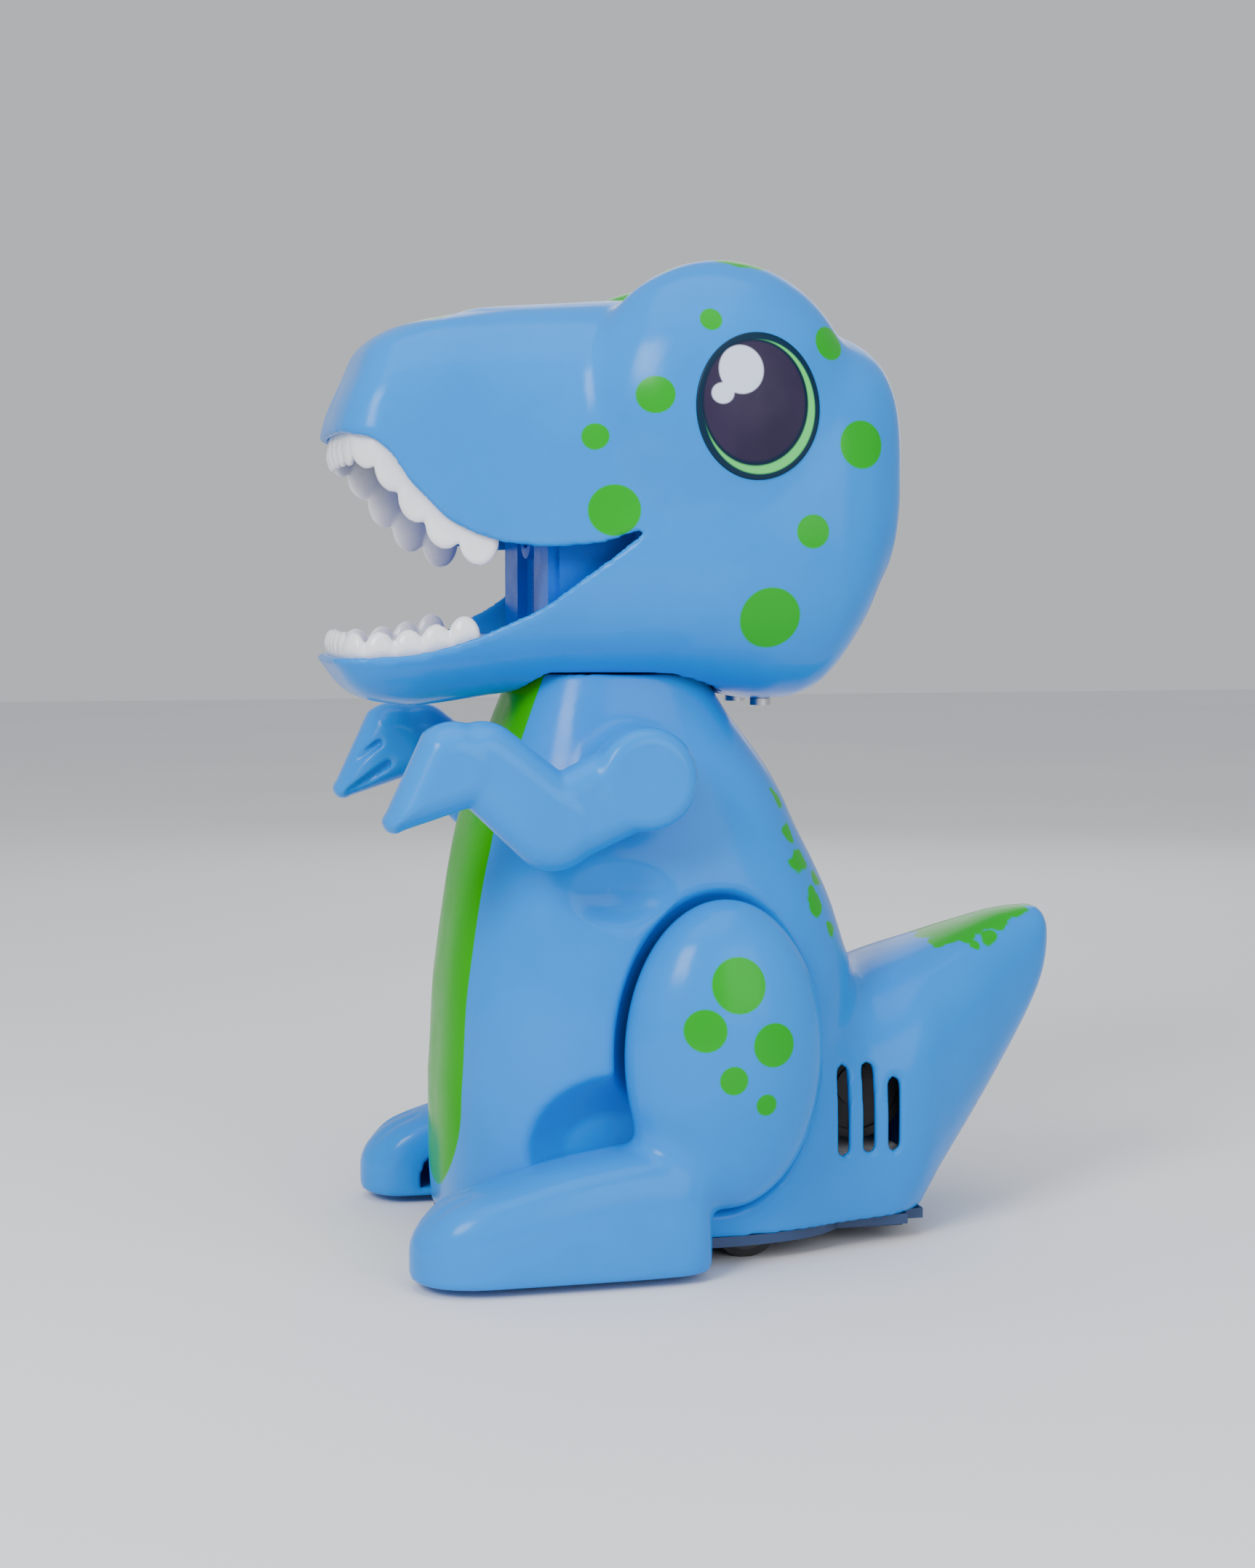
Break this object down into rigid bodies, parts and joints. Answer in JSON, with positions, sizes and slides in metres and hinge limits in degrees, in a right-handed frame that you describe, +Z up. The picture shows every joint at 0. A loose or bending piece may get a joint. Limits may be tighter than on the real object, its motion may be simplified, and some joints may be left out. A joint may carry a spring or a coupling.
{
  "type": "bubble machine",
  "caption": "Walking dinosaur toy that rolls on hidden wheels and blows bubbles from its open mouth; arms turn at the shoulders.",
  "frame": {"origin": "under the middle of the bounding box, on the floor the wheels stand on", "axes": "+Z up, the toy faces -Y, its left side is +X"},
  "size_m": [0.125, 0.19, 0.2399],
  "materials": {
    "shell_blue": "glossy injection moulding",
    "belly_green": "glossy paint on the moulding",
    "eye_print": "glossy printed film",
    "tooth_white": "glossy injection moulding",
    "liner_blue": "satin injection moulding",
    "tongue_magenta": "glossy injection moulding",
    "inner_white": "matte moulding",
    "gear_nylon": "matte nylon",
    "chassis_dark": "fine-grained moulding",
    "wheel_black": "satin moulding",
    "tyre_rubber": "matte rubber",
    "steel": "bright steel",
    "motor_can": "drawn steel can",
    "brass": "turned brass",
    "cell_wrap": "glossy wrap",
    "speaker_black": "moulded frame with paper cone",
    "board_green": "solder mask"
  },
  "bodies": {
    "root": {"head_shell_left": "shell_blue", "head_shell_right": "shell_blue", "body_shell_left": "shell_blue", "body_shell_right": "shell_blue", "left_leg": "shell_blue", "right_leg": "shell_blue", "belly_panel": "belly_green", "left_eye_sticker": "eye_print", "right_eye_sticker": "eye_print", "upper_teeth": "tooth_white", "lower_teeth": "tooth_white", "mouth_liner": "liner_blue", "bubble_nozzle": "liner_blue", "tongue": "tongue_magenta", "mechanism_frame": "inner_white", "fan_housing": "inner_white", "solution_tray": "inner_white", "neck_collar": "inner_white", "switch_housing": "inner_white", "battery_box": "inner_white", "wand_gearmotor": "inner_white", "chassis_base": "chassis_dark", "battery_door": "chassis_dark", "rear_axle_pins": "steel", "battery_door_screw": "steel", "base_screws": "steel", "head_screws": "steel", "battery_contacts": "steel", "fan_motor": "motor_can", "battery_cells": "cell_wrap", "speaker": "speaker_black", "circuit_board": "board_green"},
    "left_arm": {"left_arm": "shell_blue", "left_shoulder_pin": "steel"},
    "right_arm": {"right_arm": "shell_blue", "right_shoulder_pin": "steel"},
    "turret": {"turret_frame": "chassis_dark", "turret_cover": "chassis_dark", "turret_screw": "steel", "drive_motor": "motor_can", "reduction_pin": "steel"},
    "drive_wheels": {"drive_axle": "steel", "axle_gear": "gear_nylon", "drive_wheel_left": "wheel_black", "drive_wheel_right": "wheel_black", "drive_tyre_left": "tyre_rubber", "drive_tyre_right": "tyre_rubber"},
    "reduction": {"reduction_gear": "gear_nylon"},
    "motor_pinion": {"drive_pinion": "brass"},
    "rear_wheel_left": {"rear_wheel_left": "wheel_black", "rear_tyre_left": "tyre_rubber"},
    "rear_wheel_right": {"rear_wheel_right": "wheel_black", "rear_tyre_right": "tyre_rubber"},
    "wand_wheel": {"wand_wheel": "gear_nylon"},
    "wand_pinion": {"wand_pinion": "gear_nylon"},
    "impeller": {"fan_impeller": "gear_nylon"},
    "power_switch": {"power_switch": "chassis_dark"}
  },
  "joints": [
    {"name": "left_shoulder", "type": "hinge", "parent": "root", "child": "left_arm", "pos_m": [0.042, -0.0251, 0.1183], "axis": [1, 0, 0], "range_deg": [-40, 30]},
    {"name": "right_shoulder", "type": "hinge", "parent": "root", "child": "right_arm", "pos_m": [-0.042, -0.0251, 0.1183], "axis": [1, 0, 0], "range_deg": [-40, 30]},
    {"name": "turret_swivel", "type": "hinge", "parent": "root", "child": "turret", "pos_m": [0, -0.032, 0.0045], "axis": [0, 0, 1], "continuous": true},
    {"name": "drive_axle_spin", "type": "hinge", "parent": "turret", "child": "drive_wheels", "pos_m": [0, -0.037, 0.011], "axis": [1, 0, 0], "continuous": true},
    {"name": "reduction_spin", "type": "hinge", "parent": "turret", "child": "reduction", "pos_m": [0, -0.03626, 0.02147], "axis": [1, 0, 0], "continuous": true},
    {"name": "motor_spin", "type": "hinge", "parent": "turret", "child": "motor_pinion", "pos_m": [0, -0.026, 0.0175], "axis": [1, 0, 0], "continuous": true},
    {"name": "rear_left_spin", "type": "hinge", "parent": "root", "child": "rear_wheel_left", "pos_m": [0.033, 0.004, 0.0085], "axis": [1, 0, 0], "continuous": true},
    {"name": "rear_right_spin", "type": "hinge", "parent": "root", "child": "rear_wheel_right", "pos_m": [-0.033, 0.004, 0.0085], "axis": [1, 0, 0], "continuous": true},
    {"name": "wand_spin", "type": "hinge", "parent": "root", "child": "wand_wheel", "pos_m": [0, -0.0345, 0.1655], "axis": [0, -1, 0], "continuous": true},
    {"name": "wand_pinion_spin", "type": "hinge", "parent": "root", "child": "wand_pinion", "pos_m": [0.02142, -0.0345, 0.1733], "axis": [0, -1, 0], "continuous": true},
    {"name": "impeller_spin", "type": "hinge", "parent": "root", "child": "impeller", "pos_m": [0, -0.005, 0.1935], "axis": [1, 0, 0], "continuous": true},
    {"name": "switch_slide", "type": "slide", "parent": "root", "child": "power_switch", "axis": [1, 0, 0], "range_m": [0, 0.004]}
  ],
  "couplings": [
    {"joint": "reduction_spin", "follows": "drive_axle_spin", "ratio": -2.5},
    {"joint": "motor_spin", "follows": "drive_axle_spin", "ratio": 6.6667},
    {"joint": "wand_pinion_spin", "follows": "wand_spin", "ratio": -5.3333}
  ]
}
